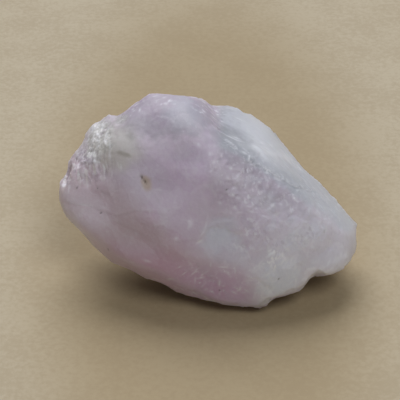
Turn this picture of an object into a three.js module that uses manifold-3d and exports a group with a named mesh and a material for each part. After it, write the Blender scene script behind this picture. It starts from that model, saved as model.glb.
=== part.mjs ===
// A rough lump of kunzite, the pale lilac spodumene, broken on every side and lying on one broken face.
// It is one solid piece. Millimetres and degrees, +Z up, +X along its length; the origin is on the resting face's
// plane, under the middle of the stone's box. The broad face looks towards -Y.
import * as THREE from "three";
import { ImprovedNoise } from "three/addons/math/ImprovedNoise.js";
import { mergeVertices } from "three/addons/utils/BufferGeometryUtils.js";
import Module from "manifold-3d";

// Driving dimensions. The faces are laid out round the stone's middle as somebody holds it, looking square at the
// broad face, in a frame of right, up and out. Turn is the way a face looks round the broad face (0 right, 90 up,
// 180 left), and lean is how far it looks out of it (90 straight out, -90 straight back). At the end the stone is
// tipped back on to its resting face.
const BROAD_FACE_TIP = 33;
const MIDDLE_HEIGHT = 16; // from the stone's lowest break up to its middle
const SKIN = 0.3; // taken off below, so that the resting face is flat in spite of the swells

// The rim is the line round the stone where the broad side turns over to the back. On each stretch the front wall
// and the back wall meet on a line that is `out` from the middle and `fore` in front of it.
const RIM = [
  { name: "crest", turn: 90, out: 19.7, fore: 4.5, leans: [30, -5] },
  { name: "crest corner", turn: 112, out: 22.3, fore: 3.2, leans: [34, -10] },
  { name: "crushed shoulder", turn: 131.8, out: 25.2, fore: 0.5, leans: [34, -34] },
  { name: "crushed end", turn: 152.7, out: 26.6, fore: -0.5, leans: [28, -31] },
  { name: "left end", turn: 186, out: 27.4, fore: 0, leans: [17, -24] },
  { name: "left corner", turn: 204, out: 25.5, fore: 1, leans: [14, -33] },
  { name: "left underside", turn: 225.4, out: 20.7, fore: 2, leans: [16, -36] },
  { name: "left keel", turn: 243.4, out: 18.2, fore: 3, leans: [20, -18] },
  { name: "keel", turn: 247, out: 18.6, fore: 3.5, leans: [27, -12] },
  { name: "front edge", turn: 261, out: 18.9, fore: 5.5, leans: [33, -12] },
  { name: "right heel", turn: 296.6, out: 22.7, fore: 5, leans: [26, -14] },
  { name: "tip underside", turn: 337, out: 29.7, fore: -2.5, leans: [18, -34] },
  { name: "tip", turn: 0, out: 29, fore: -5.5, leans: [20, -30] },
  { name: "lower long side", turn: 43.5, out: 18.1, fore: -6, leans: [19, -32] },
  { name: "upper long side", turn: 49.1, out: 18.6, fore: -6.5, leans: [8, -40] },
];

// The upper right of the stone split off along the grain. The slab that is left has one clean cleavage face and a
// rim of its own.
const CLEAVAGE = { turn: 61, lean: 21, reach: 14.5 };
const SLAB_RIM = [
  { name: "slab step", turn: 85.4, out: 17.8, fore: -6.5, leans: [20, -33] },
  { name: "slab top", turn: 72, out: 19, fore: -6.5, leans: [15, -33] },
];
// Two masses stand in front of the slab. These faces, each at its `reach` from the middle, end them.
const UPPER_MASS = [
  { name: "crest end", turn: 67.2, lean: 0, reach: 16.9 },
  { name: "crest shoulder", turn: 46.8, lean: 0, reach: 12.9 },
  { name: "upper flank", turn: 23.9, lean: 0, reach: 7.7 },
  { name: "lower flank", turn: 53.1, lean: 20, reach: 14.6 },
];
const MIDDLE_MASS = [
  { name: "middle step", turn: 77.6, lean: 10, reach: 12 },
  { name: "middle flank", turn: 52.3, lean: 8, reach: 14.2 },
];

// The faces of the broad side and of the back.
const FACES = [
  { name: "broad face", turn: 285, lean: 82, reach: 13.4 },
  { name: "left shield", turn: 160, lean: 76, reach: 13.9 },
  { name: "upper left face", turn: 134, lean: 63, reach: 16.6 },
  { name: "brow", turn: 95, lean: 58, reach: 17.4 },
  { name: "left face", turn: 176, lean: 58, reach: 16.9 },
  { name: "lower left face", turn: 218, lean: 64, reach: 15.8 },
  { name: "lower face", turn: 262, lean: 56, reach: 15.9 },
  { name: "right face", turn: 18, lean: 70, reach: 14.3 },
  { name: "second flank", turn: 56, lean: 36, reach: 15.3 },
  { name: "right end face", turn: 352, lean: 56, reach: 17.8 },
  { name: "lower right face", turn: 314, lean: 64, reach: 15.9 },
  { name: "back of the crest", turn: 98, lean: -28, reach: 19.9 },
  { name: "back face", turn: 78, lean: -72, reach: 16.4 },
  { name: "back roof", turn: 96, lean: -46, reach: 20.2 },
  { name: "back left face", turn: 158, lean: -52, reach: 18.6 },
  { name: "back right face", turn: 14, lean: -50, reach: 21.6 },
  { name: "back foot", turn: 262, lean: -68, reach: 15.4 },
  { name: "left overhang", turn: 218, lean: -30, reach: 19.2 },
  { name: "right overhang", turn: 303, lean: -36, reach: 20.2 },
  { name: "lowest break", turn: 270, lean: -BROAD_FACE_TIP, reach: MIDDLE_HEIGHT },
];

// Steps in the rim: what is beyond both faces broke away.
const RIM_STEPS = [
  [{ name: "shoulder step", turn: 126.9, lean: 5, reach: 22.3 }, { turn: 0, lean: 0, reach: -18.2 }],
  [{ name: "heel step", turn: 289.4, lean: 0, reach: 20.1 }, { turn: 315, lean: 0, reach: 23.6 }],
  [{ name: "heel corner", turn: 287.7, lean: 0, reach: 20.9 }, { turn: 0, lean: 0, reach: 11.4 }],
  [{ name: "heel notch", turn: 335, lean: 4, reach: 22.9 }, { turn: 272, lean: 8, reach: 14.5 }],
];

// Shell-shaped hollows where flakes sprang off. Each is a ball of `radius` that dips `deep` into the surface at the
// place that is `right` and `up` from the middle, on the broad side or on the back.
const FLAKE_SCARS = [
  { name: "lower left shell", right: -17, up: -6.8, radius: 24, deep: 0.6 },
  { name: "crest shell", right: -9.5, up: 14.5, radius: 22, deep: 0.35 },
  { name: "middle shell", right: 2, up: -7.5, radius: 18, deep: 0.3 },
  { name: "lower shell", right: -1, up: -15, radius: 16, deep: 0.5 },
  { name: "slab shell", right: 6.5, up: 12, radius: 11, deep: 0.6 },
  { name: "slab end shell", right: 16, up: 6, radius: 10, deep: 0.5 },
  { name: "tip shell", right: 24, up: -7, radius: 9, deep: 0.5 },
  { name: "back upper shell", right: -7, up: 9, back: true, radius: 22, deep: 1.6 },
  { name: "back right shell", right: 13, up: 2, back: true, radius: 17, deep: 1.3 },
  { name: "back left shell", right: -16, up: -1, back: true, radius: 15, deep: 1.3 },
];
// Bites out of the rim: balls that reach in to (right, up, fore) from the side that `turn` gives.
const RIM_BITES = [
  { name: "shoulder bite", right: -23.1, up: 10.9, fore: -1.5, turn: 158, radius: 2.6 },
  { name: "slab notch", right: 5.9, up: 15.9, fore: -6, turn: 66, radius: 1.8 },
  { name: "keel bite", right: -8.5, up: -15.1, fore: 3, turn: 250, radius: 4 },
];

// Splintered ground, where the grain stands open in steps: blocks as long as `length` are chiselled out of the
// surface within `spread` of the place, along a grain that runs at `grain` round the broad face.
const SPLINTERS = [
  { right: -23, up: 9, spread: [3.6, 6], count: 14, grain: 105, length: 4.5, width: 2.6, deep: 0.5, seed: 17 },
  { right: -16, up: 17, spread: [3, 1.4], count: 3, grain: 60, length: 4, width: 2.6, deep: 0.3, seed: 23 },
  { right: 6, up: 12, spread: [4, 2.4], count: 5, grain: 140, length: 7, width: 2.4, deep: 0.45, seed: 37 },
  { right: 16, up: -13, spread: [5, 4], count: 7, grain: 35, length: 4.5, width: 2.4, deep: 0.45, seed: 41 },
  { right: 2, up: -18, spread: [9, 1.2], count: 7, grain: 80, length: 3, width: 2, deep: 0.4, seed: 53 },
  { right: 4, up: 4, back: true, spread: [12, 8], count: 9, grain: 20, length: 11, width: 4, deep: 0.5, seed: 67 },
  { right: -14, up: -8, back: true, spread: [6, 4], count: 5, grain: 20, length: 8, width: 3.6, deep: 0.6, seed: 79 },
];
// How far each block may differ: in size and depth as a share of them, and in the way it lies in radians.
const SPLINTER_VARIETY = { size: 0.4, depth: 0.5, pitch: 0.3, roll: 0.16, grain: 0.25 };

// The unevenness of the broken surface, and how far the edges between its faces are rubbed down.
const SWELLS = [
  { wavelength: 17, height: 0.42 },
  { wavelength: 7.5, height: 0.2 },
  { wavelength: 3.6, height: 0.1 },
];
const WORN_EDGE = 0.06;

// How the surface is turned into triangles: a long ball that holds the whole stone is drawn in towards a line along
// its middle.
const BALL_REACH = { along: 36, across: 28 };
const BALL_DETAIL = 20; // how often each edge of an icosahedron is divided
const HALF_SPINE = 13; // half the length of that line
const MARCH = 0.4; // step of the search for the surface, shorter than the thinnest splinter
const SLOPE_STEP = 0.05; // over which the way the surface looks is measured
const FINE = 1e-6; // where the search for the surface ends, as a share of its line
const WELD = 1e-5; // corners closer than this are one
const SLIDE = { furthest: 0.55, stiffness: 0.02 }; // of a corner on to a ridge, as a share of the triangles' edges

const OUT = new THREE.Vector3(0, 0, 1);
const radians = THREE.MathUtils.degToRad;
const noise = new ImprovedNoise();

function facing(turn, lean) {
  const [turned, leant] = [radians(turn), radians(lean)];
  return new THREE.Vector3(
    Math.cos(leant) * Math.cos(turned),
    Math.cos(leant) * Math.sin(turned),
    Math.sin(leant),
  );
}

const planeOf = ({ turn, lean, reach }) => new THREE.Plane(facing(turn, lean), -reach);

// The wall of a stretch of the rim that has this lean, as a plane.
function wall({ turn, out, fore }, lean) {
  return planeOf({ turn, lean, reach: out * Math.cos(radians(lean)) + fore * Math.sin(radians(lean)) });
}

// How far a point lies outside the body that these planes bound, with the edges between them rubbed down.
function outside(planes, point) {
  const far = planes.map((plane) => plane.distanceToPoint(point));
  const furthest = Math.max(...far);
  const weight = far.reduce((sum, distance) => sum + Math.exp((distance - furthest) / WORN_EDGE), 0);
  return furthest + WORN_EDGE * Math.log(weight);
}

const shared = [
  ...RIM.flatMap((stretch) => stretch.leans.map((lean) => wall(stretch, lean))),
  ...SLAB_RIM.map((stretch) => wall(stretch, stretch.leans[1])),
  ...FACES.map(planeOf),
];
const slab = [...shared, planeOf(CLEAVAGE), ...SLAB_RIM.map((stretch) => wall(stretch, stretch.leans[0]))];
const upperMass = [...shared, ...UPPER_MASS.map(planeOf)];
const middleMass = [...shared, ...MIDDLE_MASS.map(planeOf)];

// The stone as its large flat breaks leave it: below zero inside, above zero outside, in millimetres.
const blank = (point) => Math.min(...[slab, upperMass, middleMass].map((planes) => outside(planes, point)));

// Where the line from `outer` to `inner` first meets a surface.
function firstMeeting(surface, outer, inner) {
  const steps = Math.ceil(outer.distanceTo(inner) / MARCH);
  const at = (share) => outer.clone().lerp(inner, share);
  for (let step = 1; step <= steps; step++) {
    if (surface(at(step / steps)) > 0) continue;
    let [out, into] = [(step - 1) / steps, step / steps];
    while (into - out > FINE) {
      const half = (out + into) / 2;
      if (surface(at(half)) > 0) out = half;
      else into = half;
    }
    return at(into);
  }
  return null;
}

// The unit vector that a surface looks along at a point.
function slopeOf(surface, point) {
  const rise = [0, 1, 2].map((axis) => {
    const step = new THREE.Vector3().setComponent(axis, SLOPE_STEP);
    return surface(point.clone().add(step)) - surface(point.clone().sub(step));
  });
  return new THREE.Vector3(...rise).normalize();
}

// The point of the blank that is seen there from in front or from behind, or null beside the stone.
function surfaceAt(right, up, back) {
  const height = back ? -BALL_REACH.across : BALL_REACH.across;
  return firstMeeting(blank, new THREE.Vector3(right, up, height), new THREE.Vector3(right, up, 0));
}

// Each cut is a function that says how deep inside the cut a point lies.
const rimStep = (faces) => (place) => Math.min(...faces.map((face) => planeOf(face).distanceToPoint(place)));

function ball(centre, radius) {
  return (place) => radius - place.distanceTo(centre);
}

function flakeScar({ right, up, back, radius, deep }) {
  const point = surfaceAt(right, up, back);
  return ball(point.clone().addScaledVector(slopeOf(blank, point), radius - deep), radius);
}

function rimBite({ right, up, fore, turn, radius }) {
  return ball(new THREE.Vector3(right, up, fore).addScaledVector(facing(turn, 0), radius), radius);
}

function splinterCuts({ right, up, back, spread, count, grain, length, width, deep, seed }) {
  let drawn = 1000 * seed;
  const random = (most) => most * (2 * THREE.MathUtils.seededRandom(drawn++) - 1);
  const { size: sizes, depth: depths, pitch, roll, grain: turns } = SPLINTER_VARIETY;
  const cuts = [];
  for (let i = 0; i < count; i++) {
    const point = surfaceAt(right + random(spread[0]), up + random(spread[1]), back);
    const size = new THREE.Vector3(length * (1 + random(sizes)), width * (1 + random(sizes)), width);
    const tilt = new THREE.Euler(random(pitch), random(roll), radians(grain) + random(turns), "ZYX");
    const depth = deep * (1 + random(depths));
    if (!point) continue;
    const normal = slopeOf(blank, point);
    const turned = new THREE.Quaternion().setFromUnitVectors(OUT, normal);
    const away = turned.multiply(new THREE.Quaternion().setFromEuler(tilt)).invert();
    const centre = point.addScaledVector(normal, size.z / 2 - depth);
    cuts.push((place) => {
      const inBlock = place.clone().sub(centre).applyQuaternion(away);
      return Math.min(...[0, 1, 2].map((axis) => {
        return size.getComponent(axis) / 2 - Math.abs(inBlock.getComponent(axis));
      }));
    });
  }
  return cuts;
}

function swell(point) {
  return SWELLS.reduce((sum, { wavelength, height }) => {
    const at = point.clone().divideScalar(wavelength).addScalar(2 * wavelength);
    return sum + 2 * height * noise.noise(at.x, at.y, at.z);
  }, 0);
}

const cuts = [
  ...RIM_STEPS.map(rimStep),
  ...FLAKE_SCARS.map(flakeScar),
  ...RIM_BITES.map(rimBite),
  ...SPLINTERS.flatMap(splinterCuts),
];
const stone = (point) => Math.max(blank(point), ...cuts.map((cut) => cut(point))) + swell(point);

// The ball's points slide in, each towards its own place on the spine, so that the surface stays closed.
function drawnIn() {
  const geometry = new THREE.IcosahedronGeometry(1, BALL_DETAIL);
  geometry.deleteAttribute("normal");
  geometry.deleteAttribute("uv");
  const skin = mergeVertices(geometry, WELD);
  const position = skin.getAttribute("position");
  for (let i = 0; i < position.count; i++) {
    const way = new THREE.Vector3().fromBufferAttribute(position, i);
    const { along, across } = BALL_REACH;
    const outer = new THREE.Vector3(along * way.x, across * way.y, across * way.z);
    const inner = new THREE.Vector3(HALF_SPINE * way.x, 0, 0);
    position.setXYZ(i, ...firstMeeting(stone, outer, inner));
  }
  return skin;
}

// Each corner's neighbours, the corner itself included.
function neighbours(skin) {
  const { array } = skin.getIndex();
  const around = Array.from({ length: skin.getAttribute("position").count }, () => new Set());
  for (let i = 0; i < array.length; i += 3) {
    const corners = array.slice(i, i + 3);
    corners.forEach((corner) => corners.forEach((other) => around[corner].add(other)));
  }
  return around;
}

// Corners near a ridge or a crease slide on to it: to the point that lies nearest to the planes that touch the
// surface at the corner and at its neighbours.
function slideToRidges(skin) {
  const position = skin.getAttribute("position");
  const corner = (i) => new THREE.Vector3().fromBufferAttribute(position, i);
  const points = Array.from({ length: position.count }, (_, i) => corner(i));
  const normals = points.map((point) => slopeOf(stone, point));
  neighbours(skin).forEach((around, i) => {
    const { furthest, stiffness } = SLIDE;
    const sum = [stiffness, 0, 0, 0, stiffness, 0, 0, 0, stiffness];
    const pull = new THREE.Vector3();
    let edges = 0;
    for (const j of around) {
      const normal = normals[j].toArray();
      const ahead = points[j].clone().sub(points[i]);
      for (let k = 0; k < 9; k++) sum[k] += normal[k % 3] * normal[Math.floor(k / 3)];
      pull.addScaledVector(normals[j], normals[j].dot(ahead));
      edges += ahead.length();
    }
    const slide = pull.applyMatrix3(new THREE.Matrix3().fromArray(sum).invert());
    if (slide.length() < (furthest * edges) / around.size) position.setXYZ(i, ...points[i].clone().add(slide));
  });
}

const wasm = await Module();
wasm.setup();

function toSolid(geometry) {
  const bare = new THREE.BufferGeometry().setAttribute("position", geometry.getAttribute("position"));
  const merged = mergeVertices(bare.setIndex(geometry.getIndex()), WELD);
  return new wasm.Manifold(
    new wasm.Mesh({
      numProp: 3,
      vertProperties: new Float32Array(merged.getAttribute("position").array),
      triVerts: new Uint32Array(merged.getIndex().array),
    }),
  );
}

// Cuts away what reaches below a height, which leaves the flat resting face.
function cutFlat(geometry, height) {
  const size = 4 * BALL_REACH.along;
  const below = new THREE.BoxGeometry(size, size, size).translate(0, 0, height - size / 2);
  const { vertProperties, triVerts } = toSolid(geometry).subtract(toSolid(below)).getMesh();
  const cut = new THREE.BufferGeometry();
  cut.setAttribute("position", new THREE.BufferAttribute(new Float32Array(vertProperties), 3));
  return cut.setIndex(new THREE.BufferAttribute(new Uint32Array(triVerts), 1));
}

function kunziteCrystal() {
  const skin = drawnIn();
  slideToRidges(skin);
  const geometry = cutFlat(skin.rotateX(radians(90 - BROAD_FACE_TIP)), SKIN - MIDDLE_HEIGHT);
  geometry.computeBoundingBox();
  const { min, max } = geometry.boundingBox;
  geometry.translate(-(min.x + max.x) / 2, -(min.y + max.y) / 2, -min.z);
  geometry.computeVertexNormals();
  const paleLilac = new THREE.MeshStandardMaterial({ color: 0xb9aabb, roughness: 0.5, metalness: 0 });
  const mesh = new THREE.Mesh(geometry, paleLilac);
  mesh.name = "kunzite_crystal";
  return mesh;
}

const specimen = new THREE.Group();
specimen.add(kunziteCrystal());
export default specimen;
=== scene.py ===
# Rough kunzite lump on a plain pale floor: its fine broken surface, milky material, light and camera.
import math

import bmesh
import bpy
import numpy as np
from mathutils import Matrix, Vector, kdtree, noise


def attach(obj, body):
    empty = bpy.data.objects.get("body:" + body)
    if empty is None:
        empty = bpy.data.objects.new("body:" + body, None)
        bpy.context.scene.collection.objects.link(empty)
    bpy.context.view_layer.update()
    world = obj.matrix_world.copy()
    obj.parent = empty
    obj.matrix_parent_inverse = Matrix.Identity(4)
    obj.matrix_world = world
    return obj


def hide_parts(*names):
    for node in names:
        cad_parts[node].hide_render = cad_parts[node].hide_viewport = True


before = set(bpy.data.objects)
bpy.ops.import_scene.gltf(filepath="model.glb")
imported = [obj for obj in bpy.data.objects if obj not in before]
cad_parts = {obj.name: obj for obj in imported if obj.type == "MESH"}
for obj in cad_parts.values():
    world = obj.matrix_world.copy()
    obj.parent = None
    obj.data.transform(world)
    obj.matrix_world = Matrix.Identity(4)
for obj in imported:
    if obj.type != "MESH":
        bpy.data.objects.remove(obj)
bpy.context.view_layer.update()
print("frame loaded")

# The stone is worked on in millimetres from its middle, along right, up and out of the broad face, as
# somebody holds it who looks square at that face. On the floor it lies tipped back by tip.
hold = {
    "middle": (-0.3, -1.224, 15.7),
    "tip": 33,  # degrees
    "eye": 300,  # how far off the looker is
}
tip = math.radians(hold["tip"])
holdAxes = np.array([[1, 0, 0], [0, math.sin(tip), math.cos(tip)], [0, -math.cos(tip), math.sin(tip)]])
holdMiddle = np.array(hold["middle"])


def facing(turn, lean):
    # turn goes round the broad face (0 right, 90 up), lean is how far out of it
    turned, leant = math.radians(turn), math.radians(lean)
    return np.array([math.cos(leant) * math.cos(turned), math.cos(leant) * math.sin(turned), math.sin(leant)])


def ramp(low, high, value):
    share = np.clip((value - low) / (high - low), 0, 1)
    return share * share * (3 - 2 * share)


stone = {
    "voxel": 0.28,  # mm between the points of the fine surface
    "sharpEdge": 26,  # degrees between two faces that stay sharp when the rest is rounded
    "seed": 7,
}


def fineMesh(cad):
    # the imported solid, welded and rounded between its ridges, then laid out in even small squares
    mesh = cad.data.copy()
    work = bmesh.new()
    work.from_mesh(mesh)
    bmesh.ops.remove_doubles(work, verts=work.verts, dist=1e-6)
    crease = work.edges.layers.float.new("crease_edge")
    for edge in work.edges:
        if len(edge.link_faces) == 2 and edge.calc_face_angle() > math.radians(stone["sharpEdge"]):
            edge[crease] = 1
    work.to_mesh(mesh)
    work.free()
    rough = bpy.data.objects.new("roughStone", mesh)
    bpy.context.scene.collection.objects.link(rough)
    rounder = rough.modifiers.new("round", "SUBSURF")
    rounder.levels = 2
    rounder.use_limit_surface = False
    squares = rough.modifiers.new("squares", "REMESH")
    squares.mode = "VOXEL"
    squares.voxel_size = stone["voxel"] / 1000
    fine = bpy.data.meshes.new_from_object(rough.evaluated_get(bpy.context.evaluated_depsgraph_get()))
    bpy.data.objects.remove(rough)
    return fine


stoneMesh = fineMesh(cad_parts["kunzite_crystal"])
print("fine surface laid out:", len(stoneMesh.vertices), "points")


def readPlaces(mesh):
    flat = np.empty(3 * len(mesh.vertices))
    mesh.vertices.foreach_get("co", flat)
    return (flat.reshape(-1, 3) * 1000 - holdMiddle) @ holdAxes.T


def readFacings(mesh):
    flat = np.empty(3 * len(mesh.vertices))
    mesh.vertex_normals.foreach_get("vector", flat)
    return flat.reshape(-1, 3) @ holdAxes.T


def writePlaces(mesh, places):
    points = (places @ holdAxes + holdMiddle) / 1000
    points[:, 2] = np.maximum(points[:, 2], 0)  # nothing sinks into the floor
    mesh.vertices.foreach_set("co", points.ravel())
    mesh.update()


places = readPlaces(stoneMesh)
facings = readFacings(stoneMesh)
links = np.empty(2 * len(stoneMesh.edges), int)
stoneMesh.edges.foreach_get("vertices", links)
links = links.reshape(-1, 2)
height = (places @ holdAxes + holdMiddle)[:, 2]
underside = -facings @ holdAxes[:, 2] > 0.9
# right and up, as they look from the eye
seen = places[:, :2] * (hold["eye"] / (hold["eye"] - places[:, 2:]))
front = ramp(-0.1, 0.3, facings[:, 2])  # 1 on the broad side, 0 on the far side


def spread(values, rounds):
    # each value becomes the mean of itself and its neighbours
    values = np.asarray(values, float)
    columns = values.reshape(len(values), -1)
    count = 1 + np.bincount(links.ravel(), minlength=len(columns))
    for _ in range(rounds):
        total = columns.copy()
        for column in range(columns.shape[1]):
            for here, there in ((0, 1), (1, 0)):
                brought = columns[links[:, there], column]
                total[:, column] += np.bincount(links[:, here], brought, len(columns))
        columns = total / count[:, None]
    return columns.reshape(values.shape)


def bulge(rounds):
    # how far each point stands out of its surroundings: above 0 on ridges, below 0 in creases
    return ((places - spread(places, rounds)) * facings).sum(1)


def waves(wavelength, seed):
    return np.array([noise.noise(place) for place in (places / wavelength + 31.7 * seed).tolist()])


def facets(size, grain, stretch, seed):
    # small flat breaks, drawn out along the grain: how deep each point's break lies, 0 to 1, and how it
    # leans there
    grained = np.stack([places @ facing(grain, 0) / stretch, places @ facing(grain + 90, 0), places[:, 2]], 1)
    grained = grained / size + 17.3 * seed
    middles = np.array([noise.voronoi(place)[1][0] for place in grained.tolist()])
    drawn = np.modf(np.abs(middles) * 91.7)[0]
    return drawn[:, 0], ((grained - middles) * (2 * drawn - 1)).sum(1) * size


ragged = 0.3 * waves(1.6, 1) + 0.15 * waves(0.7, 3)


def patch(centre, size, turn=0):
    # a patch with ragged edges on the broad side: 1 in the middle and 0 outside
    turned = math.radians(turn)
    off = seen - centre
    along = off @ (math.cos(turned), math.sin(turned))
    across = off @ (-math.sin(turned), math.cos(turned))
    return front * ramp(1.35, 0.65, np.hypot(along / size[0], across / size[1]) + ragged)


def strongest(*many):
    return np.max(many, axis=0)


def patches(*many):
    return strongest(*(patch(*one) for one in many))


def lineDistance(points):
    # on the broad side, how far each point is from a line through points, above 0 on the line's left
    nearest = np.full(len(places), np.inf)
    side = np.zeros(len(places))
    for start, end in zip(points, points[1:]):
        start, end = np.array(start, float), np.array(end, float)
        way = end - start
        share = np.clip((seen - start) @ way / (way @ way), 0, 1)
        gap = seen - start - share[:, None] * way
        distance = np.linalg.norm(gap, axis=1)
        closer = distance < nearest
        nearest[closer] = distance[closer]
        side[closer] = (way[0] * gap[:, 1] - way[1] * gap[:, 0])[closer]
    return nearest * np.sign(side)


# The broad side is worn soft, most of all on the brow and along the slab's edge towards the tip.
slabEdge = [
    (0.6, 17), (3.2, 12.6), (5, 10.8), (7, 9.6), (10, 8.9), (13.3, 8.1), (15.5, 6.8), (19, 3.5), (24, -1.5),
]
wear = {
    "all": {"rounds": 12, "share": 0.7},
    "broadSide": {"rounds": 50, "share": 0.85},
    "most": {"rounds": 160, "browShare": 0.9},
    "brow": {"middle": (-4.5, 13.6), "size": (8, 4.6)},
}
fromSlabEdge = lineDistance(slabEdge) + 0.5 * waves(2.4, 2)
inside = spread(front, 6) * front


def wearDown(rounds, share):
    return places + share[:, None] * (spread(places, rounds) - places)


places = wearDown(wear["all"]["rounds"], wear["all"]["share"] * ramp(0, 1, height))
places = wearDown(wear["broadSide"]["rounds"], wear["broadSide"]["share"] * inside)
alongEdge = inside * ramp(6, 2, np.abs(fromSlabEdge)) * ramp(3, 9, seen[:, 0])
fromBrow = (seen - wear["brow"]["middle"]) / wear["brow"]["size"]
onBrow = inside * ramp(1.3, 0.6, np.hypot(fromBrow[:, 0], fromBrow[:, 1]))
places = wearDown(wear["most"]["rounds"], np.maximum(alongEdge, wear["most"]["browShare"] * onBrow))
writePlaces(stoneMesh, places)
facings = readFacings(stoneMesh)

# Where each kind of ground is.
ridges = ramp(0.03, 0.11, bulge(4))
cleavage = spread(ramp(0.78, 0.95, facings @ facing(61, 25)) * ramp(1, 3, seen[:, 0]), 3)
blob = patches(((-20, 12.7), (2.4, 2.1)), ((-20.6, 10.4), (2.7, 2)), ((-16.3, 14.8), (1.3, 0.8), 35))
streaks = patches(((-22.6, 6.6), (4.9, 3.4), -8), ((-26.6, 3.8), (1.4, 1.6)))
crushed = np.maximum(blob, streaks)
granular = patches(((14, -5), (11, 8), -25), ((9, 3), (8, 5), -35))
rest = underside & (height < 0.05)
plain = (1 - cleavage) * (1 - rest)
print("kinds of ground marked")

# What was broken off the surface, in millimetres and degrees.
breaks = {
    "shells": {"count": 120, "radius": (6, 15), "deep": (0.06, 0.24)},
    "splinters": {"count": 110, "length": (3, 9), "width": (1.2, 3), "deep": (0.03, 0.1), "grain": 20},
    "granules": {"count": 60, "length": (0.6, 1.8), "width": (0.5, 1.3), "deep": (0.02, 0.05), "grain": 40},
    "slabCreases": {"count": 30, "length": (3, 8), "width": (1.2, 2.4), "deep": (0.03, 0.1), "grain": -42},
    "ridgeChips": {"count": 200, "radius": (1.2, 4), "deep": (0.04, 0.15)},
    "hemChips": {"count": 80, "radius": (0.7, 2), "deep": (0.15, 0.45)},
}
slackness = {
    "pitch": 0.1,
    "roll": 0.14,
    "grain": 14,
    "over": 2.2,  # how many times its own depth a break may reach down
}
rng = np.random.default_rng(stone["seed"])
depths = np.zeros(len(places))
nearby = kdtree.KDTree(len(places))
for index, place in enumerate(places.tolist()):
    nearby.insert(place, index)
nearby.balance()


def around(index, reach):
    found = np.array([one[1] for one in nearby.find_range(places[index].tolist(), reach)])
    return found[facings[found] @ facings[index] > 0.3]


def scattered(count, weights):
    return rng.choice(len(places), size=count, p=weights / weights.sum())


def laidOut(index, found, turn):
    # where the found points lie from one of them: forward along turn, sideways, and above its surface
    normal = facings[index]
    along = facing(turn, 0)
    along = along - normal * (along @ normal)
    along /= np.linalg.norm(along)
    offset = places[found] - places[index]
    return offset @ along, offset @ np.cross(normal, along), offset @ normal


def shell(index, radius, deep):
    # a shallow bowl, as a flake leaves it
    found = around(index, math.sqrt(2 * radius * deep) + 0.5)
    centre = places[index] + facings[index] * (radius - deep)
    reach = radius - np.linalg.norm(places[found] - centre, axis=1)
    depths[found] = np.maximum(depths[found], np.minimum(reach, slackness["over"] * deep))


def splinter(index, grain, length, width, deep):
    # a flat-floored chip that lies along the grain, narrower at one end
    found = around(index, length)
    forward, sideways, above = laidOut(index, found, grain + rng.normal() * slackness["grain"])
    narrow = np.clip(1 - 0.7 * (forward / length + 0.5), 0.3, 1)
    within = ramp(0.5, 0.36, np.abs(forward) / length) * ramp(0.5, 0.25, np.abs(sideways) / (width * narrow))
    floor = deep + forward * rng.normal() * slackness["pitch"] + sideways * rng.normal() * slackness["roll"]
    chipped = within * np.minimum(above + floor, slackness["over"] * deep)
    depths[found] = np.maximum(depths[found], chipped)


def breakOff(kind, weights):
    sizes = breaks[kind]
    for index in scattered(sizes["count"], weights):
        deep = rng.uniform(*sizes["deep"])
        if "radius" in sizes:
            shell(index, rng.uniform(*sizes["radius"]), deep)
        else:
            splinter(index, sizes["grain"], rng.uniform(*sizes["length"]), rng.uniform(*sizes["width"]), deep)


breakOff("shells", plain * (1 - 0.9 * front))
breakOff("splinters", plain * (1 - front))
breakOff("granules", granular)
breakOff("slabCreases", cleavage * ramp(3.5, 0.5, np.abs(fromSlabEdge)) + 0.001 * cleavage)
breakOff("ridgeChips", ridges * (1 - rest))
breakOff("hemChips", ridges * (1 - rest) * ramp(7, 2, height) * front)
print("chips broken off, deepest", round(float(depths.max()), 2), "mm")

# Low steps across the broad side: the ground on the right of each line lies deeper, and rises again over
# fade. The stone is cloudier along the higher side.
milkyPatchEdge = [(-2.2, -8.2), (-1.5, -7.6), (-0.2, -5.4), (1.2, -4.9), (3, -5.2), (5, -6.2)]
ledges = [
    {"line": [(-18, 8.6), (-15.9, 8.9), (-14.5, 8.3), (-13.5, 9.8), (-10.8, 9.6), (-9.3, 10.8), (-6.1, 13),
              (-3, 13.6)], "deep": 0.05, "fade": 4, "cloudy": 0.5},
    {"line": [(-27, -0.2), (-24.7, -0.9), (-21.9, -1.1), (-20, -1.9), (-17, -3), (-15.4, -2.4), (-12.6, -1.9),
              (-9, -2.6)], "deep": 0.07, "fade": 4, "cloudy": 0.35},
    {"line": [(-10.5, 1.2), (-9.2, 0), (-9, -2.6), (-7.4, -3.6), (-6, -2.4)],
     "deep": 0.04, "fade": 3, "cloudy": 0.3},
    {"line": milkyPatchEdge, "deep": 0.12, "fade": 3, "cloudy": 0},
    {"line": [(-2.2, -12), (-1.4, -13), (0.4, -14.2), (2.2, -16), (3.6, -18)],
     "deep": 0.1, "fade": 3, "cloudy": 0.3},
    {"line": [(7.6, -14.6), (9.3, -14.8), (10.8, -16), (12.3, -17.4)],
     "deep": 0.14, "fade": 2.5, "cloudy": 0.5},
    {"line": [(8, 6.6), (10, 6.5), (12, 5), (14.3, 3.8), (17, 2.4), (19.3, 1.9), (22, -0.4)],
     "deep": 0.16, "fade": 4, "cloudy": 0.6},
]


def waver():
    # keeps a line from looking drawn
    return 0.3 * waves(1.1, 5) + 0.12 * waves(0.6, 6)


wavering = waver()
clouds = np.zeros(len(places))
for one in ledges:
    distance = lineDistance(one["line"]) + wavering
    begin, end = np.array(one["line"][0]), np.array(one["line"][-1])
    along = (seen - begin) @ (end - begin) / ((end - begin) @ (end - begin))
    withinEnds = front * ramp(-0.15, 0.08, along) * ramp(1.15, 0.92, along)
    depths += withinEnds * np.where(distance < 0, one["deep"] * np.exp(distance / one["fade"]), 0)
    cloudy = one["cloudy"] * withinEnds * ramp(-0.15, 0.15, distance) * np.exp(-distance / one["fade"])
    clouds = np.maximum(clouds, cloudy)

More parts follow.
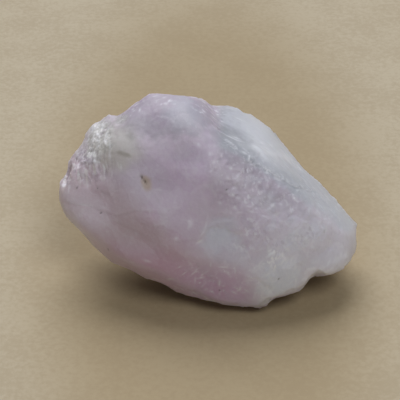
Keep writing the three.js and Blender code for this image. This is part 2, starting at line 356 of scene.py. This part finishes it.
# Ground that broke in small flat pieces: the crushed end most, the other broken ground more gently.
pieces = [
    {"size": 0.95, "grain": 98, "stretch": 2.6, "deep": 0.17, "tilt": 0.18, "where": streaks},
    {"size": 0.9, "grain": 60, "stretch": 1.3, "deep": 0.17, "tilt": 0.17, "where": blob},
    {"size": 0.5, "grain": 98, "stretch": 1.4, "deep": 0.05, "tilt": 0.1, "where": crushed},
    {"size": 1.3, "grain": 40, "stretch": 1.4, "deep": 0.06, "tilt": 0.08, "where": granular},
    {"size": 4.5, "grain": 135, "stretch": 1.8, "deep": 0.1, "tilt": 0.06,
     "where": plain * (1 - 0.8 * front)},
    {"size": 1.7, "grain": 20, "stretch": 4.5, "deep": 0.12, "tilt": 0.06, "where": plain * (1 - front)},
]
for seed, one in enumerate(pieces):
    sunk, lean = facets(one["size"], one["grain"], one["stretch"], seed)
    depths += one["where"] * (one["deep"] * sunk + one["tilt"] * lean)

# Thin sheets end one above the other on the cleavage face.
sheets = {"turn": 40, "apart": 2.6, "swing": 1.6, "wavelength": 6, "deep": 0.04}
across = places @ facing(sheets["turn"], 0) + sheets["swing"] * waves(sheets["wavelength"], 8)
within = (across / sheets["apart"]) % 1
depths += cleavage * sheets["deep"] * within * ramp(1, 0.7, within)

fineness = [
    {"wavelength": 4.2, "high": 0.05},
    {"wavelength": 1.9, "high": 0.022},
    {"wavelength": 0.8, "high": 0.01},
]
coarse = (1 - 0.75 * cleavage) * (1 + 0.6 * granular + 0.9 * (1 - front))
for index, one in enumerate(fineness):
    depths += one["high"] * waves(one["wavelength"], 20 + index) * coarse


def mark(mask, index, length, width, turn, strength):
    # a small soft-edged stroke
    found = around(index, 2 * length + 0.3)
    forward, sideways, _ = laidOut(index, found, turn)
    stroke = strength * np.exp(-((forward / length) ** 2) - (sideways / width) ** 2)
    mask[found] = np.maximum(mask[found], stroke)


def pointAt(centre):
    # the point of the broad side that is seen there
    behind = front < 0.5
    return int(np.argmin(np.hypot(*(seen - centre).T) + 9 * behind))


# White marks where the stone is bruised or opened along its grain, and a few painted glints among the single
# ones. Each scatter says where they are, how many, how long and wide, which way they lie and by how much that
# varies, and how strong they are.
scatters = [
    {"where": granular + 0.03 * front, "count": 110, "length": (0.15, 0.6), "width": (0.12, 0.3),
     "turn": (20, 60), "strength": (0.1, 0.55)},
    {"where": patch((12.2, -11), (1.7, 2)), "count": 14, "length": (0.3, 0.6), "width": (0.12, 0.2),
     "turn": (80, 40), "strength": (0.8, 1.3)},
    {"where": streaks, "count": 46, "length": (0.3, 0.9), "width": (0.12, 0.24), "turn": (98, 12),
     "strength": (0.3, 0.8)},
    {"where": patch((-20.2, 12.2), (2.1, 2.1)), "count": 34, "length": (0.15, 0.4), "width": (0.15, 0.3),
     "turn": (60, 60), "strength": (0.4, 0.9)},
    {"where": patches(((-0.6, 17.6), (2, 1.8)), ((2, 16.4), (1.3, 1.5)), ((-14.2, 16.8), (1.4, 1.2), 30),
                      ((-9, 18.4), (3.5, 0.9))),
     "count": 60, "length": (0.2, 0.6), "width": (0.12, 0.3), "turn": (120, 40), "strength": (0.3, 0.9)},
    {"where": patch((12, -15), (6, 3.6), 20) + 0.5 * patch((1, -15), (10, 3)), "count": 150,
     "length": (0.2, 0.9), "width": (0.08, 0.2), "turn": (60, 60), "strength": (0.3, 1)},
    {"where": patches(((18.6, -14), (0.9, 1.6), -30), ((23.4, -12.2), (2.8, 1.3), 35)), "count": 40,
     "length": (0.3, 0.9), "width": (0.14, 0.35), "turn": (40, 20), "strength": (0.4, 0.9)},
    {"where": cleavage * ramp(1.6, 0.2, np.abs(fromSlabEdge)), "count": 44, "length": (0.3, 1),
     "width": (0.12, 0.3), "turn": (-34, 20), "strength": (0.25, 0.75)},
]
# And single ones: right, up, length, width and turn. Those at (5.9, 15), (10.1, 10.6) and (11.7, 10.2) are
# painted glints on the slab.
singles = [
    (10.1, 10.6, 0.35, 0.35, 0), (5.9, 15, 1, 0.2, -5), (11.7, 10.2, 0.5, 0.35, 80),
    (-14.3, 17.8, 0.6, 0.4, 70), (-11.3, -11.3, 0.8, 0.25, -10), (-3.3, -4.6, 0.7, 0.35, 60),
    (-5.9, -7.2, 0.35, 0.25, 0), (-1.5, -7.9, 0.7, 0.25, 30), (-23, -1, 1.2, 0.14, -8),
    (-19, -1.5, 0.8, 0.14, -20), (-1.7, 10.3, 0.4, 0.25, 120), (0.3, 8.6, 0.35, 0.22, 95),
    (2.5, 8.3, 0.45, 0.2, 100), (4.1, 5.9, 0.4, 0.25, 95), (5.5, 4.2, 0.45, 0.35, 95),
    (0.6, 5.5, 0.3, 0.2, 30), (6.9, 2.8, 0.4, 0.15, 95), (4.5, 1, 0.3, 0.3, 0),
    (2.1, -0.5, 0.4, 0.2, 150), (5.7, -2.3, 0.7, 0.14, 5), (-3.3, -4, 0.5, 0.3, 150),
    (-0.5, -4.6, 0.9, 0.16, 75), (-0.9, -6, 0.7, 0.14, 60), (9, -4.4, 0.5, 0.28, 60),
    (12.6, -2.7, 0.6, 0.2, 20), (16.4, -5.6, 0.7, 0.22, 35), (8.4, -8.8, 0.5, 0.2, 120),
]
whiteMarks = {"singleStrength": 0.6, "deep": 0.03}
bruisesAndGlints = np.zeros(len(places))
for one in scatters:
    for index in scattered(one["count"], one["where"]):
        length, width, strength = (rng.uniform(*one[size]) for size in ("length", "width", "strength"))
        mark(bruisesAndGlints, index, length, width, rng.normal(*one["turn"]), strength)
for right, up, length, width, turn in singles:
    mark(bruisesAndGlints, pointAt((right, up)), length, width, turn, whiteMarks["singleStrength"])
depths += whiteMarks["deep"] * bruisesAndGlints

# The slit with its brown filling, and a few small dark pits.
slits = {
    "strokes": [((-12.2, 4.1), -62), ((-11.8, 3.4), -55)],
    "length": 0.42,
    "width": 0.15,
    "strength": 1.2,
    "deep": 0.2,
}
slit = np.zeros(len(places))
for place, turn in slits["strokes"]:
    mark(slit, pointAt(place), slits["length"], slits["width"], turn, slits["strength"])
pits = {
    "places": [(-20, -2.4), (-24.5, 2.3), (-20.5, 2.2), (3.3, 1.8), (-18.6, -9.2), (2.2, -16.7),
               (-14.8, -12.4), (13, -14.6)],
    "length": (0.16, 0.34),
    "width": 0.13,
    "deep": 0.08,
}
pitted = np.zeros(len(places))
for place in pits["places"]:
    mark(pitted, pointAt(place), rng.uniform(*pits["length"]), pits["width"], rng.uniform(0, 180), 1)
depths += slits["deep"] * slit + pits["deep"] * pitted

depths[rest] = 0
nearFloor = np.where(underside, ramp(0, 0.8, height), 1)
places = places - facings * (depths * nearFloor)[:, None]
writePlaces(stoneMesh, places)
print("surface broken down to", round(float(depths.max()), 2), "mm")

# What the material needs to know about each point.
places = readPlaces(stoneMesh)
facings = readFacings(stoneMesh)
right, up = seen.T
# paler patches on the lower right: partly the stone's paler tone, partly painted light where the thin tip
# lets light through
paleAndPaintedLightPatches = patches(((1.5, -7), (3.4, 1.9), 10), ((13.5, -14.5), (3.2, 2)), ((17.5, -11), (3, 2.4)))
withinMilkyPatch = ramp(0.15, -0.15, lineDistance(milkyPatchEdge) + waver())
# painted glow along the lower left edge, as if light came through the stone there
paintedLowerLeftGlow = 0.42 * ramp(-15, -22, right) * ramp(3, -3, up)
grounds = {
    # convex edges, whitened in the material as worn edges and as painted highlight
    "edge": ramp(0.014, 0.06, bulge(2)),
    "cleavage": cleavage,
    "blob": spread(blob, 2),
    "streaks": spread(streaks, 2),
    "granular": granular,
    "bruisesAndGlints": bruisesAndGlints,
    "slit": slit,
    "pitted": pitted,
    "ochre": patch((-11.5, 3.1), (0.9, 1.5), 28),
    "stain": patch((-15.8, 8.6), (1.3, 0.45), -18),
    # milky ground above the ledges; the patch at (-15.5, -4.6) is painted light that lifts the shaded hollow
    # below the second ledge
    "clouds": strongest(clouds, 0.35 * patch((-9.5, 14), (8, 5.5), 20),
                        0.4 * patch((-15.5, -4.6), (3.6, 2.4))),
    # painted light on the middle of the slab
    "paintedSlabLight": patch((11.5, 11), (7, 3.6), -45),
    # painted glow on the faces that look down, as if light came through the thin rim
    "paintedUndersideGlow": ramp(-0.15, 0.45, -facings @ holdAxes[:, 2]) * (0.55 + 0.45 * ramp(-6, 8, right)) * front,
    # painted light: rose light bounced up from the paper floor onto the lower left of the broad side
    "paintedFloorBounce": ramp(-8, -17, up + 0.9 * right) * ramp(8, -8, right) * front,
    "blush": (ramp(9.5, 16, -up - 0.25 * right) * ramp(11, 5, right) * (0.45 + 0.55 * ramp(-16, -5, right))
              * front),
    # paler towards the right: the stone's paler lilac, with painted light where the thin tip lets light
    # through
    "paleAndPaintedLight": strongest(ramp(-6, 18, right + 0.2 * up), 0.9 * paleAndPaintedLightPatches),
    # bluish: painted sky reflection on the crest top and the facet below the slab's edge, and the stone's own
    # bluish milk in the lower patches
    "bluishAndSkyReflection": patches(((-4.6, 16), (3.4, 3.4)), ((14, 4.6), (6.5, 1.7), -36), ((13.2, -14.4), (4.6, 4.4), 20),
                    ((17.5, -7), (4.5, 2), 30), ((2.4, -5.4), (3, 2.2), 10)),
    "green": spread(patch((-18, 10.2), (5.5, 4.6), -20), 12),
    # painted shade: darkens the crest top, the flank along the slab's edge and a few small spots
    "deep": strongest(patch((-7.5, 16.5), (11, 5)), patch((5, 9.4), (7, 3), -40),
                      0.5 * patch((12, 3), (8, 4), -35), 0.35 * patch((4, 3.6), (4.5, 5)),
                      0.9 * patch((-22.2, 8), (2.4, 1.4)), 0.35 * patch((-2, 9), (5, 2.4))),
    # painted glow towards the thin lower right tip and along the lower left edge
    "paintedGlow": strongest(ramp(6, 22, 0.55 * right - up), paintedLowerLeftGlow) * front,
    "milk": strongest(patch((13.2, -14.8), (3.8, 3.2), 20),
                      0.7 * patch((2.2, -7), (3.8, 2.8), 10) * withinMilkyPatch),
    "lip": ramp(0.8, 0.1, np.abs(fromSlabEdge - 0.4)) * ramp(3, 6, right) * ramp(18, 14, right) * front,
    "cluster": strongest(patch((12.2, -11), (1.7, 2)),
                         0.5 * patches(((16.8, -7.4), (1.6, 1)), ((8, -6), (1.2, 1)))),
}
for name, values in grounds.items():
    attribute = stoneMesh.attributes.new(name, "FLOAT", "POINT")
    attribute.data.foreach_set("value", np.clip(values, 0, 1).astype(np.float32))
print("grounds written for the material")

stonePiece = bpy.data.objects.new("kunzite_stone", stoneMesh)
bpy.context.scene.collection.objects.link(stonePiece)
stoneMesh.polygons.foreach_set("use_smooth", np.ones(len(stoneMesh.polygons), bool))


class Wire:
    # a node's output, on which sums can be done
    def __init__(self, shader, socket):
        self.shader, self.socket = shader, socket

    def sum(self, operation, first, second):
        return self.shader.node("ShaderNodeMath", {"operation": operation}, {0: first, 1: second})

    def __add__(self, other):
        return self.sum("ADD", self, other)

    def __radd__(self, other):
        return self.sum("ADD", other, self)

    def __sub__(self, other):
        return self.sum("SUBTRACT", self, other)

    def __rsub__(self, other):
        return self.sum("SUBTRACT", other, self)

    def __mul__(self, other):
        return self.sum("MULTIPLY", self, other)

    def __rmul__(self, other):
        return self.sum("MULTIPLY", other, self)


class Shader:
    def __init__(self, name):
        self.material = bpy.data.materials.new(name)
        self.material.use_nodes = True
        self.tree = self.material.node_tree
        self.tree.nodes.clear()

    def node(self, kind, settings=None, sockets=None, output=0):
        made = self.tree.nodes.new(kind)
        for name, value in (settings or {}).items():
            setattr(made, name, value)
        for name, value in (sockets or {}).items():
            if isinstance(value, Wire):
                self.tree.links.new(value.socket, made.inputs[name])
            else:
                made.inputs[name].default_value = value
        return Wire(self, made.outputs[output]) if len(made.outputs) else made

    def ground(self, name):
        return self.node("ShaderNodeAttribute", {"attribute_name": name}, output="Fac")

    def between(self, low, high, value):
        # 0 below low, 1 above high, smooth between them
        settings = {"interpolation_type": "SMOOTHSTEP"}
        return self.node("ShaderNodeMapRange", settings, {"Value": value, "From Min": low, "From Max": high})

    def blend(self, share, first, second, kind="MIX"):
        # colours: first where share is 0, second where it is 1
        settings = {"data_type": "RGBA", "blend_type": kind}
        return self.node("ShaderNodeMix", settings, {0: share, 6: first, 7: second}, output=2)

    def tinted(self, tone, tints):
        for ground, share, tint, kind in tints:
            tone = self.blend(self.ground(ground) * share, tone, kunzite[tint], kind)
        return tone

    def mottle(self, place, wavelength, detail=2.0, roughness=0.5, distortion=0.0):
        sockets = {"Vector": place, "Scale": 1 / wavelength, "Detail": detail, "Roughness": roughness,
                   "Distortion": distortion}
        return self.node("ShaderNodeTexNoise", {}, sockets)

    def bent(self, place, wavelength, far):
        # places moved unevenly, so that what is laid out on them gets uneven outlines
        sockets = {"Vector": place, "Scale": 1 / wavelength}
        drift = self.node("ShaderNodeTexNoise", {}, sockets, output="Color")
        sockets = {0: drift, 1: (far,) * 3, 2: place}
        return self.node("ShaderNodeVectorMath", {"operation": "MULTIPLY_ADD"}, sockets)

    def cells(self, place, size, turn, stretch):
        # grains drawn out along a line on the broad side: one number, 0 to 1, for all of each grain
        axes = (facing(turn, 0) / stretch, facing(turn + 90, 0), facing(0, 90))
        parts = [self.node("ShaderNodeVectorMath", {"operation": "DOT_PRODUCT"},
                           {0: place, 1: Vector(axis @ holdAxes / size)}, output="Value") for axis in axes]
        grained = self.node("ShaderNodeCombineXYZ", {}, dict(enumerate(parts)))
        drawn = self.node("ShaderNodeTexVoronoi", {}, {"Vector": grained, "Scale": 1.0}, output="Color")
        return self.node("ShaderNodeSeparateColor", {}, {0: drawn})


def colour(red, green, bluishAndSkyReflection):
    # a colour as a paint program names it, 0 to 255, turned into the light it stands for
    def light(part):
        part /= 255
        return part / 12.92 if part <= 0.04045 else ((part + 0.055) / 1.055) ** 2.4

    return (light(red), light(green), light(bluishAndSkyReflection), 1)


kunzite = {
    "mauve": colour(212, 194, 217),
    "greyLilac": colour(214, 203, 220),
    "cloud": colour(226, 220, 230),
    # the rose of the painted floor bounce
    "floorBounceRose": colour(208, 182, 189),
    "paleLilac": colour(224, 219, 233),
    # the white of the painted glow
    "paintedGlowWhite": colour(240, 239, 252),
    "blush": colour(208, 160, 192),
    "blushTint": colour(250, 236, 252),
    "greyGreen": colour(217, 216, 209),
    # darkens the stone's dark plates, and paints the shade laid by the deep ground
    "plateDarkAndPaintedShade": colour(214, 215, 216),
    "slabWhite": colour(240, 243, 250),
    "paleBlue": colour(216, 221, 234),
    "icy": colour(230, 237, 252),
    # the cleavage face's white, bluish from painted sky reflection
    "slabWhiteAndSkyReflection": colour(204, 209, 218),
    # the white of bruises and of painted glints
    "bruisesAndGlints": colour(246, 247, 255),
    "crushedWhite": colour(240, 241, 238),
    "crushedGrey": colour(196, 197, 193),
    # dark streaks and dark grain, also used for painted shade between the flecks
    "darkStreakAndShade": colour(168, 156, 168),
    "stainBrown": colour(132, 124, 102),
    "ochre": colour(198, 174, 132),
    "slitBrown": colour(84, 62, 44),
    "speck": colour(92, 78, 84),
    "translucent": 0.25,
    "refraction": 1.66,
    "milkDepth": 0.012,  # m
    "milkReach": (1.0, 0.9, 1.0),  # how far red, green and blue go into it, as shares of milkDepth
    "absorbed": colour(214, 184, 208),
    "absorption": 25,
    "bumpStrength": 0.5,
    "bumpHeight": 0.00012,  # m
}
# Tints that are laid on one after another: ground, share, colour and kind of blend.
films = [
    ("lip", 0.4, "slabWhite", "MIX"),
    ("milk", 0.5, "icy", "MIX"),
    # painted glow on the down-facing faces
    ("paintedUndersideGlow", 0.8, "paintedGlowWhite", "MIX"),
    ("blush", 0.8, "blushTint", "MULTIPLY"),
    # painted shade
    ("deep", 0.9, "plateDarkAndPaintedShade", "MULTIPLY"),
]
marks = [
    # white bruise marks and painted glints
    ("bruisesAndGlints", 0.85, "bruisesAndGlints", "MIX"),
    ("stain", 0.3, "stainBrown", "MIX"),
    ("ochre", 0.5, "ochre", "MIX"),
    ("slit", 0.9, "slitBrown", "MIX"),
    ("pitted", 0.75, "speck", "MIX"),
]


def kunziteMaterial():
    shader = Shader("kunzite")
    coordinate = shader.node("ShaderNodeTexCoord", {}, {}, output="Object")
    place = shader.node("ShaderNodeVectorMath", {"operation": "SCALE"}, {0: coordinate, "Scale": 1000})
    cleavage, blob, streaks = shader.ground("cleavage"), shader.ground("blob"), shader.ground("streaks")
    granular, paleAndPaintedLight, paintedFloorBounce = shader.ground("granular"), shader.ground("paleAndPaintedLight"), shader.ground("paintedFloorBounce")
    crushed = shader.node("ShaderNodeMath", {"operation": "MAXIMUM"}, {0: blob, 1: streaks})

    veils = shader.between(0.4, 0.66, shader.mottle(place, 9, 3, 0.55, 0.6))
    wisps = shader.between(0.46, 0.7, shader.mottle(place, 3, 4, 0.6, 1.5))
    flecks = shader.between(0.52, 0.66, shader.mottle(place, 0.9, 4, 0.65, 0.4))
    grain = shader.mottle(place, 0.55, 3, 0.6)
    tone = shader.blend(veils, kunzite["mauve"], kunzite["greyLilac"])
    # painted light: the floor's warm bounce on the lower left
    tone = shader.blend(paintedFloorBounce * 0.7, tone, kunzite["floorBounceRose"])
    tone = shader.blend(wisps * 0.35 * (1 - 0.6 * paintedFloorBounce), tone, kunzite["cloud"])
    tone = shader.blend(shader.between(0.42, 0.6, grain) * 0.14, tone, kunzite["cloud"])
    # paler towards the right, partly painted light
    tone = shader.blend(paleAndPaintedLight * 0.75, tone, kunzite["paleLilac"])
    patchy = shader.between(0.5, 0.62, shader.mottle(place, 5, 2, 0.5, 0.8))
    tone = shader.blend(patchy * paleAndPaintedLight * 0.35, tone, kunzite["paleBlue"])
    # bluish: partly painted sky reflection, partly the stone's milky tone
    tone = shader.blend(shader.ground("bluishAndSkyReflection") * 0.6, tone, kunzite["paleBlue"])
    # painted glow towards the thin tip and along the lower left edge
    tone = shader.blend(shader.ground("paintedGlow") * 0.7, tone, kunzite["paintedGlowWhite"])
    plates = shader.cells(shader.bent(place, 2.5, 1.6), 3.6, 135, 1.7)
    tone = shader.blend(shader.between(0.5, 0.6, plates) * 0.24, tone, kunzite["cloud"])
    # darker plates: the stone's own uneven tone
    tone = shader.blend(shader.between(0.3, 0.2, plates) * 0.14, tone, kunzite["plateDarkAndPaintedShade"], "MULTIPLY")
    tone = shader.blend(shader.ground("blush") * (0.45 + 0.3 * veils), tone, kunzite["blush"])
    tone = shader.blend(shader.ground("clouds") * 0.6, tone, kunzite["cloud"])
    tone = shader.blend(shader.ground("green") * 0.7, tone, kunzite["greyGreen"])
    # the cleavage face: its own whiter ground, bluish from painted sky reflection
    tone = shader.blend(cleavage * 0.85, tone, kunzite["slabWhiteAndSkyReflection"])
    # painted light on the slab
    tone = shader.blend(cleavage * shader.ground("paintedSlabLight") * 0.45, tone, kunzite["slabWhite"])
    tone = shader.tinted(tone, films)
    tone = shader.blend(flecks * (0.07 + 0.24 * granular), tone, kunzite["bruisesAndGlints"])
    # bright sparks are painted glints; dark sparks are dark grain with painted shade between the flecks
    sparks = shader.cells(place, 0.45, 110, 1.6)
    brightSparks, darkGrainAndShade = shader.between(0.82, 0.92, sparks), shader.between(0.2, 0.1, sparks)
    clumps = shader.between(0.45, 0.6, shader.mottle(place, 3.5, 3, 0.6))
    clumped = clumps * (0.12 + granular) * (1 - 0.7 * cleavage)
    tone = shader.blend(brightSparks * (0.06 + 0.34 * clumped), tone, kunzite["bruisesAndGlints"])
    tone = shader.blend(darkGrainAndShade * (0.04 + 0.14 * clumped), tone, kunzite["darkStreakAndShade"])
    crumbs = shader.cells(place, 0.42, 98, 1.3)
    paleCrumbs, whiteCrumbs = shader.between(0.68, 0.85, crumbs), shader.between(0.8, 0.86, crumbs)
    crumbTone = shader.blend(paleCrumbs, kunzite["crushedGrey"], kunzite["crushedWhite"])
    tone = shader.blend(blob * 0.55, tone, crumbTone)
    tone = shader.blend(shader.ground("cluster") * whiteCrumbs, tone, kunzite["bruisesAndGlints"])
    slivers = shader.cells(place, 0.5, 98, 3.2)
    tone = shader.blend(streaks * shader.between(0.3, 0.12, slivers) * 0.34, tone, kunzite["darkStreakAndShade"])
    tone = shader.blend(streaks * shader.between(0.72, 0.88, slivers) * 0.45, tone, kunzite["crushedWhite"])
    # whiter along the convex edges: partly frosted wear, partly painted highlight on the ridges
    wornAndHighlitEdge = shader.ground("edge") * (0.12 + 0.25 * crushed + 0.35 * cleavage)
    tone = shader.blend(wornAndHighlitEdge, tone, kunzite["bruisesAndGlints"])
    tone = shader.tinted(tone, marks)

    roughness = 0.5 + grain * 0.16 - cleavage * 0.1 - crushed * 0.12
    fine = shader.mottle(place, 0.35, 4, 0.65)
    bumps = fine * (0.4 + crushed + granular * 0.5) + shader.mottle(place, 1.1, 3, 0.55)
    sockets = {"Strength": kunzite["bumpStrength"], "Distance": kunzite["bumpHeight"], "Height": bumps}
    relief = shader.node("ShaderNodeBump", {}, sockets)
    body = shader.node("ShaderNodeBsdfPrincipled", {"subsurface_method": "RANDOM_WALK"}, {
        "Base Color": tone,
        "Roughness": roughness,
        "IOR": kunzite["refraction"],
        "Subsurface Weight": 1.0,
        "Subsurface Radius": kunzite["milkReach"],
        "Subsurface Scale": kunzite["milkDepth"],
        "Transmission Weight": kunzite["translucent"],
        "Normal": relief,
    })
    skin = shader.node("ShaderNodeBsdfPrincipled", {}, {
        "Base Color": tone,
        "Roughness": roughness,
        "IOR": kunzite["refraction"],
        "Normal": relief,
    })
    # where it is bruised, crushed or painted with glints the light comes back from the skin, elsewhere more
    # of it from inside the milky stone
    skinShare = 0.38 + shader.ground("bruisesAndGlints") * 0.5 + crushed * 0.4 + granular * 0.12
    stoneBody = shader.node("ShaderNodeMixShader", {}, {0: skinShare, 1: body, 2: skin})
    sockets = {"Color": kunzite["absorbed"], "Density": kunzite["absorption"]}
    absorb = shader.node("ShaderNodeVolumeAbsorption", {}, sockets)
    shader.node("ShaderNodeOutputMaterial", {}, {"Surface": stoneBody, "Volume": absorb})
    return shader.material


stoneMesh.materials.clear()
stoneMesh.materials.append(kunziteMaterial())
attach(stonePiece, "root")
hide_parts("kunzite_crystal")
print("stone finished")

floor = {
    "paper": colour(170, 153, 122),
    # the paper out beyond the painted shade
    "paperOutsidePaintedShade": colour(190, 178, 154),
    "fibres": colour(152, 133, 102),
    "side": 4.0,  # m
    # painted shade: the paper is darker around the stone and lighter further out
    "fade": {"middle": (0, 15, 0), "squeeze": (3, 1, 1), "from": 65, "to": 135},  # mm
}


def makeFloor():
    half = floor["side"] / 2
    corners = [(-half, -half, 0), (half, -half, 0), (half, half, 0), (-half, half, 0)]
    mesh = bpy.data.meshes.new("floor")
    mesh.from_pydata(corners, [], [(0, 1, 2, 3)])
    piece = bpy.data.objects.new("floor", mesh)
    bpy.context.scene.collection.objects.link(piece)
    shader = Shader("floorPaper")
    coordinate = shader.node("ShaderNodeTexCoord", {}, {}, output="Object")
    place = shader.node("ShaderNodeVectorMath", {"operation": "SCALE"}, {0: coordinate, "Scale": 1000})
    fade = floor["fade"]
    offset = shader.node("ShaderNodeVectorMath", {"operation": "SUBTRACT"}, {0: place, 1: fade["middle"]})
    squeezed = shader.node("ShaderNodeVectorMath", {"operation": "MULTIPLY"}, {0: offset, 1: fade["squeeze"]})
    away = shader.node("ShaderNodeVectorMath", {"operation": "LENGTH"}, {0: squeezed}, output="Value")
    fibres = shader.mottle(place, 1.2, 4, 0.7) * 0.6 + shader.mottle(place, 14, 3, 0.6) * 0.4
    # painted shade: darker paper around the stone
    tone = shader.blend(shader.between(fade["from"], fade["to"], away), floor["paper"], floor["paperOutsidePaintedShade"])
    tone = shader.blend(shader.between(0.4, 0.6, fibres) * 0.3, tone, floor["fibres"])
    body = shader.node("ShaderNodeBsdfPrincipled", {}, {"Base Color": tone, "Roughness": 0.8})
    shader.node("ShaderNodeOutputMaterial", {}, {"Surface": body})
    mesh.materials.append(shader.material)


makeFloor()

light = {
    "skyColour": (0.95, 0.97, 1.0, 1),
    "skyStrength": 0.11,
    "aim": (0, 0, 0.01),
    "lamps": [
        {"name": "window", "at": (-0.2, 1.0, 1.6), "size": 1.6, "power": 29, "colour": (0.98, 0.98, 1)},
        {"name": "room", "at": (0.26, -0.52, 0.8), "size": 0.5, "power": 3.1, "colour": (0.97, 0.98, 1)},
    ],
}


def makeLights():
    world = bpy.data.worlds.new("studio")
    bpy.context.scene.world = world
    world.use_nodes = True
    background = world.node_tree.nodes["Background"]
    background.inputs["Color"].default_value = light["skyColour"]
    background.inputs["Strength"].default_value = light["skyStrength"]
    for one in light["lamps"]:
        lamp = bpy.data.lights.new(one["name"], "AREA")
        lamp.shape = "DISK"
        lamp.size = one["size"]
        lamp.energy = one["power"]
        lamp.color = one["colour"]
        piece = bpy.data.objects.new(one["name"], lamp)
        piece.location = one["at"]
        piece.rotation_euler = (Vector(light["aim"]) - piece.location).to_track_quat("-Z", "Y").to_euler()
        bpy.context.scene.collection.objects.link(piece)


makeLights()

shot = {"aimRight": -1.48, "lens": 145.6, "sensor": 36, "nearest": 0.01}


def makeCamera():
    data = bpy.data.cameras.new("camera")
    data.sensor_width = shot["sensor"]
    data.lens = shot["lens"]
    data.clip_start = shot["nearest"]
    piece = bpy.data.objects.new("camera", data)
    bpy.context.scene.collection.objects.link(piece)
    aim = holdMiddle + shot["aimRight"] * holdAxes[0]
    piece.location = Vector((aim + hold["eye"] * holdAxes[2]) / 1000)
    piece.rotation_euler = Vector(holdAxes[2]).to_track_quat("Z", "Y").to_euler()
    bpy.context.scene.camera = piece


makeCamera()
bpy.context.scene.view_settings.view_transform = "Standard"
print("floor, lights and camera placed")
